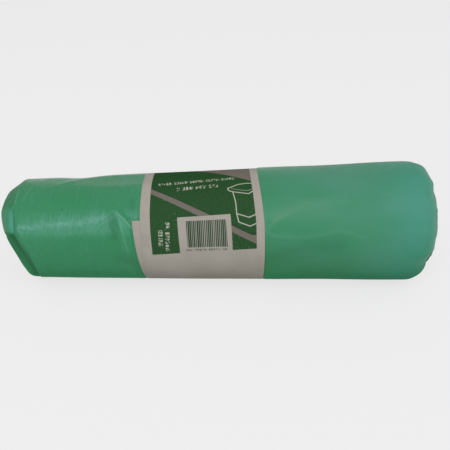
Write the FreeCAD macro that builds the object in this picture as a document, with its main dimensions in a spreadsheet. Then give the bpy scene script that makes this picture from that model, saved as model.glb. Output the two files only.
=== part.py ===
import FreeCAD, Part
import os
import Sketcher

# A soft roll of plastic film bags lying on its side, held by a strip of paper.
# The roll is a little thicker at its right end, so it is drawn about its own axis (X) and
# then leaned until the line it lies on is level. Angles round the roll start at the top
# and run down the front. Lengths in millimetres, angles in degrees.

os.makedirs("parts", exist_ok=True)
doc = FreeCAD.newDocument("bin_bag_roll")
sheet = doc.addObject("Spreadsheet::Sheet", "sizes")

# name, value and meaning of every driving size
SIZES = (
    ("roll_length", 233.0, "length of the roll along its axis"),
    ("left_radius", 27.75, "radius of the cone at the left end"),
    ("right_radius", 33.72, "radius of the cone at the right end"),
    ("left_flat", 0.7, "how far the left end is pressed flat where it lies"),
    ("right_flat", 1.1, "the same at the right end, which is heavier"),
    ("bevel_length", 10.8, "length of the drawn-in strip at the left end"),
    ("end_radius", 22.5, "radius of the left end face"),
    ("rim_radius", 9.5, "rounding of the right end"),
    ("dish_depth", 2.0, "how far both end faces sink towards the eye"),
    ("eye_diameter", 9.0, "hole left in the middle of the winding"),
    ("face_x", -114.1, "where the slanted part of the left end face crosses the axis"),
    ("face_tilt", 17.7, "angle between that part's normal and the axis"),
    ("face_turn", 150.0, "direction in which it faces"),
    ("squash_x", -151.6, "where the squashed flat beside it crosses the axis"),
    ("squash_tilt", 62.0, "angle between the squashed flat's normal and the axis"),
    ("squash_turn", 110.0, "direction in which it faces"),
    ("dent_x", -62.0, "middle of the shallow dent in the top"),
    ("dent_turn", -4.0, "direction of the dent"),
    ("dent_depth", 0.9, "depth of the dent"),
    ("dent_ball", 300.0, "radius of the dent's hollow"),
    ("edge_lift", 0.45, "height of the outer bag's loose edge"),
    ("edge_turn", -80.0, "where the loose edge ends, on the back"),
    ("edge_sweep", 90.0, "arc over which the outer bag rises to its edge"),
    ("edge_margin", 13.0, "distance of the loose edge from both ends"),
    ("turn_pitch", 4.0, "distance between the gaps seen in the end faces"),
    ("gap_width", 0.5, "width of the gap between two turns"),
    ("gap_depth", 1.5, "depth of that gap"),
    ("gap_start", 6.6, "radius where the gap begins beside the eye"),
    ("left_turns", 3.0, "turns of the gap in the left end face"),
    ("right_turns", 4.0, "turns of the gap in the right end face"),
    ("band_width", 64.0, "width of the paper strip"),
    ("band_x", -7.95, "middle of the strip along the roll"),
    ("band_skew", 2.3, "how far the strip leans from square"),
    ("band_turn", 127.0, "direction in which it leans to the right"),
    ("paper", 0.15, "thickness of the paper as wrapped"),
    ("slack", 0.02, "gap between paper and film"),
    ("seat_left", 5.2, "width of the drawn-in film left of the strip, under its inner end"),
    ("seat_right", 1.6, "width of the drawn-in film right of the strip"),
    ("lap_start", 53.0, "where the inner end of the strip begins"),
    ("lap_end", 143.0, "where the outer end of the strip stops"),
    ("tail_end", 141.0, "where the inner end stops showing beside the outer"),
    ("tail_out", 2.05, "how far the inner end sticks out on the left, at the axis"),
    ("tail_skew", 7.1, "how far the inner end leans from square"),
    ("tail_turn", 178.0, "direction in which it leans to the right"),
)


def fill_sheet():
    for row, (alias, value, meaning) in enumerate(SIZES, start=1):
        sheet.set("A%d" % row, meaning)
        sheet.set("B%d" % row, str(value))
        sheet.setAlias("B%d" % row, alias)
    doc.recompute()


def size(alias):
    return float(getattr(sheet, alias))


# Expressions shared by several pieces.
RISE = "(sizes.right_radius - sizes.right_flat - sizes.left_radius + sizes.left_flat)"
LEAN = "atan(%s / sizes.roll_length)" % RISE
MIDDLE = "(sizes.left_radius + sizes.right_radius) / 2"
UNDER = "(sizes.left_radius + sizes.right_radius - sizes.left_flat - sizes.right_flat) / 2"
HALF = "sizes.roll_length / 2"
BLOCK = "6 * sizes.right_radius"
HALF_BLOCK = "-3 * sizes.right_radius"
LEVEL = "create(<<rotation>>; create(<<vector>>; 0; 0; 1); 0)"
END_ON = "create(<<rotation>>; create(<<vector>>; 1; 0; 1); 180)"


def radius_at(x):
    return "(%s + (%s) * (sizes.right_radius - sizes.left_radius) / sizes.roll_length)" % (MIDDLE, x)


def about_x(angle):
    return "create(<<rotation>>; create(<<vector>>; 1; 0; 0); %s)" % angle


def about_y(angle):
    return "create(<<rotation>>; create(<<vector>>; 0; 1; 0); %s)" % angle


def place(x, y, z, rotation=LEVEL):
    return "create(<<placement>>; create(<<vector>>; %s; %s; %s); %s)" % (x, y, z, rotation)


def box(name, length, width, height, placement):
    made = doc.addObject("Part::Box", name)
    made.setExpression("Length", length)
    made.setExpression("Width", width)
    made.setExpression("Height", height)
    made.setExpression("Placement", placement)
    return made


def cone(name, left_x, right_x, grow, turn=None, sweep=None, lift="0"):
    """A length of the roll's own cone, grown or shrunk, whole or as a sector."""
    made = doc.addObject("Part::Cone", name)
    made.setExpression("Radius1", "%s + %s" % (radius_at(left_x), grow))
    made.setExpression("Radius2", "%s + %s" % (radius_at(right_x), grow))
    made.setExpression("Height", "(%s) - (%s)" % (right_x, left_x))
    if sweep is not None:
        made.setExpression("Angle", sweep)
    start = place("0", "0", "0", about_x(turn if turn is not None else "0"))
    made.setExpression("Placement", "%s * %s" % (start, place(left_x, "0", lift, END_ON)))
    return made


def cut(name, base, tool):
    made = doc.addObject("Part::Cut", name)
    made.Base = base
    made.Tool = tool
    return made


def fuse(name, pieces):
    made = doc.addObject("Part::MultiFuse", name)
    made.Shapes = pieces
    return made


def common(name, pieces):
    made = doc.addObject("Part::MultiCommon", name)
    made.Shapes = pieces
    return made


def origin_feature(body, role):
    for feature in body.Origin.OriginFeatures:
        if feature.Role == role:
            return feature
    raise ValueError("no origin feature " + role)


# The roll as wound: half its outline, turned about the axis. The right rim is rounded in
# three short strips, since the folded film there is not a true arc either.
def outline_corners():
    slope = "(sizes.right_radius - sizes.left_radius) / sizes.roll_length"
    bevel_y = "sizes.left_radius + sizes.bevel_length * %s" % slope
    rim_x = "sizes.roll_length - sizes.rim_radius"
    rim_y = "sizes.right_radius - sizes.rim_radius - sizes.rim_radius * %s" % slope
    rim = []
    for step in (90, 60, 30, 0):
        across = "%s + sizes.rim_radius * cos(%d)" % (rim_x, step)
        outward = "%s + sizes.rim_radius * sin(%d)" % (rim_y, step)
        rim.append((across, outward))
    left = [("sizes.dish_depth", "0"), ("0", "sizes.end_radius"), ("sizes.bevel_length", bevel_y)]
    return left + rim + [("sizes.roll_length - sizes.dish_depth", "0")]


def wound_roll():
    body = doc.addObject("PartDesign::Body", "winding")
    sketch = body.newObject("Sketcher::SketchObject", "half_outline")
    sketch.AttachmentSupport = (origin_feature(body, "XZ_Plane"), [""])
    sketch.MapMode = "FlatFace"
    corners = outline_corners()
    values = [[float(sketch.evalExpression(text)) for text in corner] for corner in corners]
    points = [FreeCAD.Vector(x, y, 0.0) for x, y in values]
    count = len(corners)
    for index in range(count):
        sketch.addGeometry(Part.LineSegment(points[index], points[(index + 1) % count]), False)
    for index in range(count):
        sketch.addConstraint(Sketcher.Constraint("Coincident", index, 2, (index + 1) % count, 1))
    for index, (x, y) in enumerate(corners):
        for kind, text, value in (("DistanceX", x, points[index].x), ("DistanceY", y, points[index].y)):
            if text == "0":
                line = -1 if kind == "DistanceY" else -2
                sketch.addConstraint(Sketcher.Constraint("PointOnObject", index, 1, line))
                continue
            number = sketch.addConstraint(Sketcher.Constraint(kind, -1, 1, index, 1, value))
            sketch.setExpression("Constraints[%d]" % number, text)
    turning = body.newObject("PartDesign::Revolution", "turning")
    turning.Profile = sketch
    turning.ReferenceAxis = (origin_feature(body, "X_Axis"), [""])
    turning.Angle = 360.0
    body.Tip = turning
    body.setExpression("Placement", place("-" + HALF, "0", "0"))
    return body


# Lower front of the left end: the end face slants there, and the strip beside it is
# squashed to a flat.
def slanted_block(name, x, tilt, turn):
    swung = place(x, "0", "0", about_x(turn))
    tipped = place("0", "0", "0", about_y("%s - 90" % tilt))
    corner = place(HALF_BLOCK, HALF_BLOCK, "0")
    return box(name, BLOCK, BLOCK, BLOCK, "%s * %s * %s" % (swung, tipped, corner))


def slanted_end():
    face = slanted_block("slanted_face_block", "sizes.face_x", "sizes.face_tilt", "sizes.face_turn")
    flat = slanted_block("squashed_flat_block", "sizes.squash_x", "sizes.squash_tilt", "sizes.squash_turn")
    return fuse("slanted_end_blocks", [face, flat])


# The outer bag ends in a loose edge on the back, standing a little proud.
def loose_edge():
    left = "sizes.edge_margin - " + HALF
    right = HALF + " - sizes.edge_margin"
    return cone("outer_bag_edge", left, right, "0", "sizes.edge_turn", "sizes.edge_sweep", "sizes.edge_lift")


# Shallow hollow in the top, left of the paper.
def top_dent():
    ball = doc.addObject("Part::Sphere", "dent_ball_tool")
    ball.setExpression("Radius", "sizes.dent_ball")
    swung = place("sizes.dent_x", "0", "0", about_x("sizes.dent_turn"))
    height = "%s - sizes.dent_depth + sizes.dent_ball" % radius_at("sizes.dent_x")
    ball.setExpression("Placement", "%s * %s" % (swung, place("0", "0", height)))
    return ball


def eye():
    bore = doc.addObject("Part::Cylinder", "eye_bore")
    bore.setExpression("Radius", "sizes.eye_diameter / 2")
    bore.setExpression("Height", "sizes.roll_length * 1.2")
    bore.setExpression("Placement", place("-0.6 * sizes.roll_length", "0", "0", END_ON))
    return bore


# Block under the line the roll lies on; its top can be raised for the layers inside.
def ground(name, raised):
    length = "sizes.roll_length * 1.5"
    leaned = place("0", "0", "-%s + %s" % (UNDER, raised), about_y(LEAN))
    corner = place("-0.75 * sizes.roll_length", HALF_BLOCK, "-" + BLOCK)
    return box(name, length, BLOCK, BLOCK, "%s * %s" % (leaned, corner))


def half_turn_edges(radius, turns, shift, x, sign):
    """Half circles about two centres in turn: a spiral of even pitch, in the plane x."""
    edges = []
    pitch = size("turn_pitch")
    for half in range(int(round(2 * turns))):
        centre = 0.0 if half % 2 == 0 else pitch / 2
        way = 1.0 if half % 2 == 0 else -1.0
        r = radius + half * pitch / 2 + shift
        start = FreeCAD.Vector(x, sign * (centre + way * r), 0.0)
        middle = FreeCAD.Vector(x, sign * centre, way * r)
        end = FreeCAD.Vector(x, sign * (centre - way * r), 0.0)
        edges.append(Part.Arc(start, middle, end).toShape())
    return edges


# Gap between the turns, seen as a spiral line in an end face. It is cut to an even depth
# below the end as shaped, so it also follows the slanted flat.
def end_gap(name, shaped, turns, side):
    half_width = size("gap_width") / 2
    outside = side * size("roll_length")
    inner = half_turn_edges(size("gap_start"), turns, -half_width, outside, side)
    outer = half_turn_edges(size("gap_start"), turns, half_width, outside, side)
    first = Part.makeLine(inner[0].firstVertex().Point, outer[0].firstVertex().Point)
    last = Part.makeLine(inner[-1].lastVertex().Point, outer[-1].lastVertex().Point)
    wire = Part.Wire(Part.__sortEdges__(inner + [last] + outer + [first]))
    strip = Part.Face(wire).extrude(FreeCAD.Vector(-side * size("roll_length"), 0.0, 0.0))
    deeper = shaped.Shape.copy()
    deeper.translate(FreeCAD.Vector(-side * size("gap_depth"), 0.0, 0.0))
    made = doc.addObject("Part::Feature", name)
    made.Shape = strip.cut(deeper)
    return made


# The paper strip: the blocks that bound it on its left and right.
def leaning_block(name, left, width, turn, skew):
    swung = place(left, "0", "0", about_x(turn))
    tipped = place("0", "0", "0", about_y(skew))
    corner = place("0", HALF_BLOCK, HALF_BLOCK)
    return box(name, width, BLOCK, BLOCK, "%s * %s * %s" % (swung, tipped, corner))


def strip_outside():
    left = "sizes.band_x - sizes.band_width / 2"
    layer = cone("inner_layer", "-" + HALF, HALF, "0")
    lap_angle = "sizes.lap_end - sizes.lap_start"
    lap = cone("outer_layer", "-" + HALF, HALF, "sizes.paper", "sizes.lap_start", lap_angle)
    edges = leaning_block("strip_block", left, "sizes.band_width", "sizes.band_turn", "sizes.band_skew")
    wrapped = common("wrapped", [fuse("layers", [layer, lap]), edges])
    tail_angle = "sizes.tail_end - sizes.lap_start"
    tail_layer = cone("tail_layer", "-" + HALF, HALF, "0", "sizes.lap_start", tail_angle)
    tail_left = "%s - sizes.tail_out" % left
    tail_width = "sizes.band_width / 2"
    tail_edges = leaning_block("tail_block", tail_left, tail_width, "sizes.tail_turn", "sizes.tail_skew")
    tail = common("tail", [tail_layer, tail_edges])
    return fuse("strip_outside", [wrapped, tail])


def strip_inside(name, grow, raised):
    return cut(name, cone(name + "_cone", "-" + HALF, HALF, "-(%s)" % grow), ground(name + "_ground", raised))


# The film is drawn in by the paper's thickness under the strip and just beside it.
def strip_seat():
    left = "sizes.band_x - sizes.band_width / 2 - sizes.seat_left"
    width = "sizes.band_width + sizes.seat_left + sizes.seat_right"
    ring = box("seat_block", width, BLOCK, BLOCK, place(left, HALF_BLOCK, HALF_BLOCK))
    layer = "sizes.paper + sizes.slack"
    return cut("seat", ring, strip_inside("seat_core", layer, layer))


def build():
    fill_sheet()
    shaped = cut("roll_shaped", wound_roll(), slanted_end())
    edged = fuse("roll_edged", [shaped, loose_edge()])
    dented = cut("roll_dented", edged, top_dent())
    doc.recompute()
    left_gap = end_gap("left_gap", dented, size("left_turns"), -1)
    right_gap = end_gap("right_gap", dented, size("right_turns"), 1)
    opened = cut("roll_opened", dented, fuse("gaps_and_eye", [left_gap, right_gap, eye()]))
    lying = cut("roll_lying", opened, ground("ground_block", "0"))
    roll = cut("bag_roll", lying, strip_seat())
    outside = cut("strip_lying", strip_outside(), ground("strip_ground", "0"))
    band = cut("paper_band", outside, strip_inside("strip_bore", "sizes.paper", "sizes.paper"))
    height = "%s * cos(%s)" % (UNDER, LEAN)
    for node in (roll, band):
        node.Label = node.Name
        node.setExpression("Placement", place("0", "0", height, about_y("-" + LEAN)))
    doc.recompute()
    for item in doc.Objects:
        if "Invalid" in item.State or "Error" in item.State:
            raise ValueError(item.Name + " did not recompute")
        shape = getattr(item, "Shape", None)
        if shape is not None and not item.isDerivedFrom("App::OriginFeature"):
            if shape.isNull() or not shape.isValid():
                raise ValueError(item.Name + " has no valid shape")
    for node in (roll, band):
        if len(node.Shape.Solids) != 1:
            raise ValueError(node.Label + " is not one solid")
        node.Shape.exportStep("parts/%s.step" % node.Label)


build()
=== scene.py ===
import math
from functools import reduce

import bpy
import numpy as np
from bpy.props import FloatProperty, FloatVectorProperty, IntProperty, PointerProperty
from bpy.types import Operator, Panel, PropertyGroup
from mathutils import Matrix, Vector


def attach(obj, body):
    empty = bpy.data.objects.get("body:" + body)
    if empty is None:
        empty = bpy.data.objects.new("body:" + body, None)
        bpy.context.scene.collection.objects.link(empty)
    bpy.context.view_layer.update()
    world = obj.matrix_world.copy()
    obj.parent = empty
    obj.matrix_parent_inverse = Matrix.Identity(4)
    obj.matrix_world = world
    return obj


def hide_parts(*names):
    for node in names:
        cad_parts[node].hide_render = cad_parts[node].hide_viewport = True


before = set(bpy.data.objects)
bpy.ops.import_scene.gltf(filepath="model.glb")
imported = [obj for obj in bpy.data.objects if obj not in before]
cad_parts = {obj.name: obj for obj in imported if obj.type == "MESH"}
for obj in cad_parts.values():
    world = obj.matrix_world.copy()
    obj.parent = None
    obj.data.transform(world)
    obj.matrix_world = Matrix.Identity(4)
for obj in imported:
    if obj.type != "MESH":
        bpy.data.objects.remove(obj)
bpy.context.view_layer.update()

bl_info = {
    "name": "Bin bag roll",
    "version": (1, 0, 0),
    "blender": (4, 5, 0),
    "location": "View3D > Sidebar > Bag roll",
    "description": "A soft roll of film bags held by a printed strip of paper, and the stage it lies on",
    "category": "Object",
}

MM = 0.001
BODY = "root"


def length(name, value, description):
    return FloatProperty(name=name, default=value, description=description, subtype="DISTANCE",
                         unit="LENGTH")


def colour(name, code, description):
    """A colour setting, with its default written as six hex digits."""
    parts = [int(code[i:i + 2], 16) / 255 for i in (0, 2, 4)]
    linear = [p / 12.92 if p <= 0.04045 else ((p + 0.055) / 1.055) ** 2.4 for p in parts]
    return FloatVectorProperty(name=name, default=linear, description=description,
                               subtype="COLOR", size=3, min=0, max=1)


class RollSettings(PropertyGroup):
    roll_length: length("Length", 0.233, "Length of the roll")
    left_radius: length("Left radius", 0.02775, "Radius at the thin end")
    right_radius: length("Right radius", 0.03372, "Radius at the thick end")
    left_flat: length("Left flat", 0.0007, "How far the thin end is pressed flat")
    right_flat: length("Right flat", 0.0011, "How far the thick end is pressed flat")
    eye_radius: length("Eye radius", 0.0045, "Hole left in the middle of the winding")
    turn_pitch: length("Turn pitch", 0.00115, "Distance between the film edges in the end faces")
    undulation: length("Undulation", 0.00022, "Height of the soft waves in the wound film")
    wave_seed: IntProperty(name="Wave seed", default=7, description="Seed of the soft waves")
    film_dark: colour("Film", "358055", "Colour of the film")
    film_pale: colour("Film, thick end", "4d8973", "Colour of the film towards the thick end")


class PaperSettings(PropertyGroup):
    thickness: length("Thickness", 0.00016, "Thickness of the paper")
    paper: colour("Paper", "a39c94", "Colour of the bare paper")
    ink: colour("Ink", "063e07", "Colour of the printed field")
    stripe: colour("Stripe", "6c635b", "Colour of the printed stripe")
    line: colour("Pale line", "b5b3a6", "Colour of the pale print")


class StageSettings(PropertyGroup):
    elevation: FloatProperty(name="Camera height", default=math.radians(32),
                             description="Angle above the floor", subtype="ANGLE", unit="ROTATION")
    distance: length("Camera distance", 0.3421, "From the camera to the point it looks at")
    lens: FloatProperty(name="Lens", default=48.0,
                        description="Focal length in millimetres on a 36 mm sensor")


# Lengths below are in millimetres, with x along the roll from its middle. Angles round the
# roll are 0 at the top, 90 degrees at the front and 180 underneath.
LEFT_END = -116.5
RIGHT_END = 116.5
LOOSE_EDGE = -80.0

# How far the corners between the roll's faces are rounded.
UNDERSIDE_ROUNDING = 0.6
DENT_ROUNDING = 0.3
RIGHT_ROUNDING = 9.5
RIGHT_ROUNDING_LOW = 3.5
LOWER_FRONT = math.radians(118)
LOWER_FRONT_REACH = 0.45
LEFT_ROUNDING = 2.5
SLANT_ROUNDING = 2.2

# Between which distances the surface is looked for along a ray, and how often that is halved.
NEAREST_SURFACE = 1.0
FARTHEST_SURFACE = 70.0
HALVINGS = 34

DENT_X = -62.0
DENT_DEPTH = 0.9
DENT_BALL = 300.0
DENT_TURN = math.radians(4)


def roll_radius(x):
    sizes = bpy.context.scene.bag_roll
    slope = (sizes.right_radius - sizes.left_radius) / sizes.roll_length
    return (sizes.left_radius + sizes.right_radius) / 2 / MM + slope * x


def axis_height(x):
    sizes = bpy.context.scene.bag_roll
    middle = (sizes.left_flat + sizes.right_flat) / 2 / MM
    slope = (sizes.right_flat - sizes.left_flat) / sizes.roll_length
    return roll_radius(x) - middle - slope * x


def round_max(a, b, radius):
    """The larger of two distances, with the corner between their faces rounded."""
    corner = np.hypot(np.maximum(a + radius, 0), np.maximum(b + radius, 0))
    return np.minimum(-radius, np.maximum(a, b)) + corner


def smooth_step(low, high, value):
    t = np.clip((value - low) / (high - low), 0, 1)
    return t * t * (3 - 2 * t)


def half_turn(phi):
    """The same angle between minus half a turn and half a turn."""
    return (phi + math.pi) % (2 * math.pi) - math.pi


def waves(x, phi, scale, seed, count=9):
    """Soft random waves over the roll: a sum of plain sines with random directions."""
    chance = np.random.default_rng(seed)
    total = np.zeros(np.broadcast(x, phi).shape)
    for _ in range(count):
        turns = chance.integers(0, 5)
        along = chance.normal(0, 1) / scale
        total = total + np.sin(along * x + turns * phi + chance.uniform(0, 2 * math.pi))
    return total / math.sqrt(count)


# Left end: the outer turns stop at a crease and the inner ones stand out beyond it.
# Each row: degrees round the roll, place of the crease along it, slope of the film beyond
# the crease, depth of the groove at the crease.
CREASE = (
    (-180, -104.5, 0.40, 0.0),
    (-120, -106.0, 0.60, 0.0),
    (-60, -107.0, 0.72, 0.0),
    (-12, -107.2, 0.72, 0.0),
    (7, -106.6, 0.62, 0.0),
    (25, -107.2, 0.56, 0.1),
    (36, -107.2, 0.53, 0.5),
    (50, -106.3, 0.53, 0.7),
    (63, -105.6, 0.53, 0.6),
    (75, -103.0, 0.53, 0.8),
    (84, -100.4, 0.53, 1.0),
    (97, -99.0, 0.53, 1.1),
    (110, -98.2, 0.53, 1.1),
    (124, -98.6, 0.42, 1.0),
    (135, -99.2, 0.16, 0.7),
    (155, -101.0, 0.20, 0.3),
    (180, -104.5, 0.40, 0.0),
)
GROOVE_WIDTH = 1.2
CREASE_RISE = 3.0

# A strip of nearly level film beside the crease, at the front: its width, its slope and the
# slope beyond it as shares of the crease's own, and the degrees where it comes and goes.
LEVEL_WIDTH = 3.4
LEVEL_SLOPE = 0.15
STEEP_SLOPE = 1.5
LEVEL_COMES = np.radians((14, 38))
LEVEL_GOES = np.radians((72, 63))

SLANT_X = -114.1
SLANT_SLOPE = 0.32
SLANT_TURN = math.radians(150)


def crease_value(phi, column):
    degrees = np.degrees(half_turn(phi))
    table = np.array(CREASE, float)
    near = [np.interp(degrees + shift, table[:, 0], table[:, column]) for shift in (-3, 0, 3)]
    return (near[0] + near[1] + near[2]) / 3


def slanted_face(r, phi):
    """Where the slanted part of the left end face lies."""
    return SLANT_X + SLANT_SLOPE * r * np.cos(phi - SLANT_TURN)


def left_bevel(x, r, phi):
    """Distance outside the drawn-in film beyond the crease, with the groove beside it."""
    place, slope, groove = (crease_value(phi, column) for column in (1, 2, 3))
    beyond = np.maximum(place - x, 0)
    before = np.maximum(x - place, 0)
    share = smooth_step(*LEVEL_COMES, phi) * smooth_step(*LEVEL_GOES, phi)
    level = LEVEL_WIDTH * share
    stepped = LEVEL_SLOPE * np.minimum(beyond, level) + STEEP_SLOPE * np.maximum(beyond - level, 0)
    drop = slope * stepped * share + slope * beyond * (1 - share)
    limit = roll_radius(place) - drop - groove * np.exp(-beyond / GROOVE_WIDTH) + CREASE_RISE * before
    return (r - limit) / np.sqrt(1 + slope ** 2)


def top_dent(x, r, phi):
    """Distance inside the large ball that dents the top near the thin end."""
    centre = roll_radius(DENT_X) - DENT_DEPTH + DENT_BALL
    across = r * np.sin(phi + DENT_TURN)
    up = r * np.cos(phi + DENT_TURN) - centre
    return DENT_BALL - np.sqrt((x - DENT_X) ** 2 + across ** 2 + up ** 2)


def outside(x, r, phi):
    """Signed distance from the wound roll, in millimetres, positive outside."""
    side = r - roll_radius(x)
    under = -(r * np.cos(phi)) - axis_height(x)
    side = round_max(side, under, UNDERSIDE_ROUNDING)
    side = round_max(side, top_dent(x, r, phi), DENT_ROUNDING)
    side = np.maximum(side, left_bevel(x, r, phi))
    lower_front = np.exp(-((phi - LOWER_FRONT) / LOWER_FRONT_REACH) ** 2)
    side = round_max(side, x - RIGHT_END, RIGHT_ROUNDING + RIGHT_ROUNDING_LOW * lower_front)
    side = round_max(side, LEFT_END - x, LEFT_ROUNDING)
    beyond_slant = (slanted_face(r, phi) - x) / math.hypot(1, SLANT_SLOPE)
    return round_max(side, beyond_slant, SLANT_ROUNDING)


def surface_distance(start_x, lean, phi):
    """Distance from a point on the axis to the roll's surface, along leaning rays."""
    low = np.full(np.broadcast(start_x, lean, phi).shape, NEAREST_SURFACE)
    high = np.full(low.shape, FARTHEST_SURFACE)
    for _ in range(HALVINGS):
        middle = (low + high) / 2
        inside = outside(start_x + middle * np.sin(lean), middle * np.cos(lean), phi) < 0
        low = np.where(inside, middle, low)
        high = np.where(inside, high, middle)
    return (low + high) / 2


# Folds in the film: points as x and degrees, height (below 0 for a groove) and width.
FOLDS = (
    (((-52.0, 44.4), (-48.2, 51.0), (-43.5, 61.5)), 0.22, 0.7),
    (((-52.0, 44.4), (-57.0, 51.0), (-62.9, 60.4)), 0.16, 1.0),
    (((-105.5, -11.0), (-98.9, 4.0), (-89.9, 10.8), (-79.5, -4.0), (-70.0, -14.0)), 0.35, 1.6),
    (((-96.0, -10.0), (-86.0, -6.0), (-76.0, -14.0)), -0.30, 3.0),
    (((-107.6, 36.4), (-106.7, 26.6), (-106.2, 6.0)), 0.22, 0.7),
    (((-103.0, 28.8), (-101.5, 18.8), (-100.0, 3.6)), 0.18, 0.7),
    (((-98.2, 74.2), (-93.9, 91.2), (-90.1, 116.6)), -0.16, 0.9),
    (((-86.4, 42.3), (-85.7, 50.0), (-85.1, 56.4)), -0.10, 0.6),
    (((-45.6, 28.1), (-42.6, 36.5), (-42.4, 45.0)), 0.25, 1.2),
    (((23.7, 63.7), (30.4, 70.6), (41.8, 72.8), (53.6, 70.3), (63.7, 65.9), (76.7, 73.7)), 0.12, 1.8),
    (((25.3, 71.4), (35.5, 66.9), (43.3, 68.1), (49.4, 66.4)), -0.08, 1.2),
    (((27.8, 52.5), (38.1, 48.2), (46.0, 40.9), (66.6, 38.2)), 0.14, 2.4),
    (((24.1, 99.2), (33.4, 91.7), (43.6, 85.1), (74.2, 75.6)), -0.22, 4.0),
)
# Both ends of a fold fade, from this share of its height and at this rate.
FADE_FROM = 0.25
FADE_RATE = 4

# Creases in the paper, in the same way as the folds.
CREASES = (
    (((19.0, 96), (17.5, 108), (18.5, 122)), 0.16, 0.5),
    (((10.0, 104), (14.0, 112), (16.0, 122)), -0.12, 0.6),
    (((-22.0, 98), (-18.0, 106), (-20.0, 116)), 0.08, 0.9),
)

# The three-cornered pad beside the strip: its corners, its height and how far each side slopes.
TUCK = ((-52.0, 44.4), (-43.3, 61.8), (-45.6, 87.0))
TUCK_HEIGHT = 0.95
TUCK_SLOPES = (3.0, 9.0, 6.0)
TUCK_EASE = 1.3

# The flats of the thick rim meet at these degrees, and grow between these places along it.
RIM_CORNERS = (-175, -128, -92, -61, -44, -10, 14, 48, 72, 93, 131, 150, 185)
RIM_GROWS = (102, 113)
RIM_SHARE = 0.35
RIM_SHARE_FRONT = 0.4

WAVE_SCALE = 16.0
PLEAT_SCALE = 9.0
PLEAT_HEIGHT = 0.22
LOOSE_EDGE_RISE = 0.45

# The film is pressed in below the strip, from a little outside its edges.
STRIP_SINK = 0.45
SINK_STARTS = 1.2
SINK_FULL = 0.6

# A hollow in the top of the thin end: x, degrees, reach along, reach in degrees, depth.
HOLLOW = (-76, -30, 10, 17, 1.05)


def line_distance(u, v, points):
    """Distance of (u, v) from a line through points, and how far along it, from 0 to 1."""
    best = np.full(np.broadcast(u, v).shape, 1e9)
    along = np.zeros(best.shape)
    total = len(points) - 1
    for index in range(total):
        (u0, v0), (u1, v1) = points[index], points[index + 1]
        du, dv = u1 - u0, v1 - v0
        t = np.clip(((u - u0) * du + (v - v0) * dv) / (du * du + dv * dv), 0, 1)
        d = np.hypot(u - u0 - t * du, v - v0 - t * dv)
        near = d < best
        best = np.where(near, d, best)
        along = np.where(near, (index + t) / total, along)
    return best, along


def on_surface(points):
    """Places given as x and degrees, as x and the way round the roll there."""
    return [(x, math.radians(angle) * roll_radius(x)) for x, angle in points]


def tuck(x, phi):
    """Height of the pad where the film is pulled towards the paper's corner."""
    corners = on_surface(TUCK)
    v = phi * roll_radius(x)
    height = np.ones(np.broadcast(x, v).shape)
    for (p, q), reach in zip(zip(corners, corners[1:] + corners[:1]), TUCK_SLOPES):
        du, dv = q[0] - p[0], q[1] - p[1]
        outside_by = ((x - p[0]) * dv - (v - p[1]) * du) / math.hypot(du, dv)
        height = np.minimum(height, 1 - outside_by / reach)
    return TUCK_HEIGHT * np.clip(height, 0, 1) ** TUCK_EASE


def fold(x, phi, points, height, width):
    """A ridge (or a groove, where height is negative) along points given as x and degrees."""
    d, along = line_distance(x, half_turn(phi) * roll_radius(x), on_surface(points))
    fade = np.clip(np.minimum(along, 1 - along) * FADE_RATE + FADE_FROM, 0, 1)
    return height * np.exp(-(d / width) ** 2) * fade


def rim_flats(x, phi):
    """The film at the thick end is folded in flats, not truly round."""
    degrees = np.degrees((phi + math.radians(175)) % (2 * math.pi)) - 175
    corners = np.array(RIM_CORNERS, float)
    index = np.clip(np.searchsorted(corners, degrees, side="right") - 1, 0, len(corners) - 2)
    half = np.radians(corners[index + 1] - corners[index]) / 2
    middle = np.radians(corners[index + 1] + corners[index]) / 2
    chord = 1 - np.cos(half) / np.cos(np.radians(degrees) - middle)
    front = smooth_step(-40, 0, degrees) * (1 - smooth_step(125, 150, degrees))
    share = RIM_SHARE + RIM_SHARE_FRONT * front
    return -share * roll_radius(x) * chord * smooth_step(*RIM_GROWS, x)


def top_hollow(x, phi):
    place, angle, reach, reach_round, depth = HOLLOW
    round_it = (phi - math.radians(angle)) / math.radians(reach_round)
    return -depth * np.exp(-((x - place) / reach) ** 2 - round_it ** 2)


def film_relief(x, phi):
    """Height of the film's own unevenness over the plain form, in millimetres."""
    sizes = bpy.context.scene.bag_roll
    relief = sizes.undulation / MM * waves(x, phi, WAVE_SCALE, sizes.wave_seed)
    near_end = smooth_step(92, 116, np.abs(x))
    pleats = waves(x * 0.4, phi * 3, PLEAT_SCALE, sizes.wave_seed + 1, 7)
    relief = relief + PLEAT_HEIGHT * near_end * pleats
    turned = (phi - math.radians(LOOSE_EDGE)) % (2 * math.pi)
    quarter = math.pi / 2
    rise = LOOSE_EDGE_RISE * np.cos(np.clip(turned, 0, quarter)) ** 2 * (turned < quarter)
    relief = relief + rise * smooth_step(116, 104, np.abs(x))
    for row in FOLDS:
        relief = relief + fold(x, phi, *row)
    relief = relief + tuck(x, phi) + rim_flats(x, phi) + top_hollow(x, phi)
    left, right = strip_edges(phi)
    room = smooth_step(left - SINK_STARTS, left + SINK_FULL, x)
    room = room * smooth_step(right + SINK_STARTS, right - SINK_FULL, x)
    return relief * (1 - room) - STRIP_SINK * room


def to_row(x, r, phi):
    """Row frame coordinates in metres of points given about the roll's own axis."""
    y = -r * np.sin(phi)
    z = axis_height(x) + r * np.cos(phi)
    return np.stack([np.broadcast_to(x, z.shape), y, z], axis=-1) * MM


def new_mesh(name, points, faces, smooth=True):
    mesh = bpy.data.meshes.new(name)
    mesh.from_pydata([tuple(p) for p in points], [], faces)
    mesh.validate()
    mesh.polygons.foreach_set("use_smooth", [smooth] * len(mesh.polygons))
    mesh.update()
    piece = bpy.data.objects.new(name, mesh)
    bpy.context.scene.collection.objects.link(piece)
    return piece


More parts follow.
